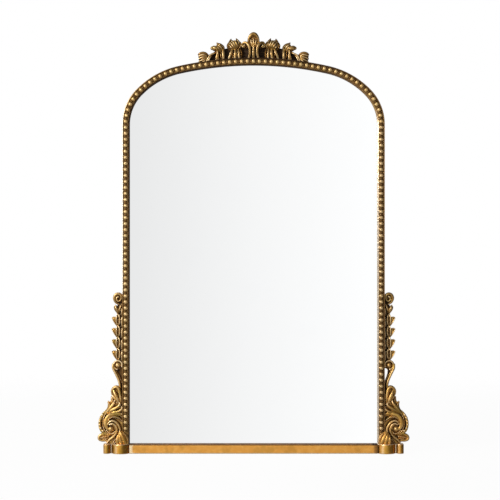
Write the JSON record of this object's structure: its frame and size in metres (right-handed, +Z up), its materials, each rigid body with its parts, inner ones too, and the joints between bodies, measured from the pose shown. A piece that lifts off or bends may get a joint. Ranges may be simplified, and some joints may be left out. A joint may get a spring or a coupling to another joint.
{
  "type": "pier mirror",
  "caption": "Arch-topped gilt pier mirror with a bead-and-reel moulding, carved side scrolls, a carved crest and hanging rings behind.",
  "frame": {"origin": "middle of the base rail's underside, centred left to right and front to back, level with what the mirror stands on", "axes": "+X to the right seen from the front, -Y out of the glass towards the viewer, +Y into the wall, +Z up; the wall plane is y = +0.025"},
  "size_m": [0.7546, 0.05, 1.0122],
  "materials": {
    "gilt_frame": "antique gold leaf over red-brown bole, rubbed on the high edges",
    "gilt_carving": "antique gold leaf with a dark toned ground in the hollows",
    "dark_ground": "dark stained, matt",
    "panel_board": "raw fibreboard",
    "pine": "planed pine",
    "mirror": "silvered plate glass",
    "rubber": "matt",
    "plated_steel": "zinc plated"
  },
  "bodies": {
    "frame": {"back_panel": "panel_board", "left_batten": "pine", "right_batten": "pine", "top_batten": "pine", "bottom_batten": "pine", "crest_batten": "pine", "mirror_glass": "mirror", "setting_blocks": "rubber", "base_rail": "gilt_frame", "left_plinth": "gilt_frame", "right_plinth": "gilt_frame", "left_stile": "gilt_frame", "right_stile": "gilt_frame", "left_haunch": "gilt_frame", "right_haunch": "gilt_frame", "left_shoulder": "gilt_frame", "right_shoulder": "gilt_frame", "crown": "gilt_frame", "left_bead_strip": "gilt_frame", "right_bead_strip": "gilt_frame", "arch_bead_strip": "gilt_frame", "left_garland": "gilt_carving", "right_garland": "gilt_carving", "left_volute": "gilt_carving", "right_volute": "gilt_carving", "left_scroll": "gilt_carving", "right_scroll": "gilt_carving", "left_foot_leaf": "gilt_carving", "right_foot_leaf": "gilt_carving", "crest_plate": "dark_ground", "crest_finial": "gilt_carving", "left_crest_flower": "gilt_carving", "right_crest_flower": "gilt_carving", "left_crest_bell": "gilt_carving", "right_crest_bell": "gilt_carving", "left_crest_fan": "gilt_carving", "right_crest_fan": "gilt_carving", "left_strap": "plated_steel", "right_strap": "plated_steel", "panel_screws": "plated_steel", "batten_screws": "plated_steel", "strap_screws": "plated_steel"},
    "left_hanging_ring": {"left_ring": "plated_steel"},
    "right_hanging_ring": {"right_ring": "plated_steel"}
  },
  "joints": [
    {"name": "left_ring_swing", "type": "hinge", "parent": "frame", "child": "left_hanging_ring", "pos_m": [-0.18, 0.01955, 0.69], "axis": [1, 0, 0], "range_deg": [0, 180]},
    {"name": "right_ring_swing", "type": "hinge", "parent": "frame", "child": "right_hanging_ring", "pos_m": [0.18, 0.01955, 0.69], "axis": [1, 0, 0], "range_deg": [0, 180]}
  ]
}
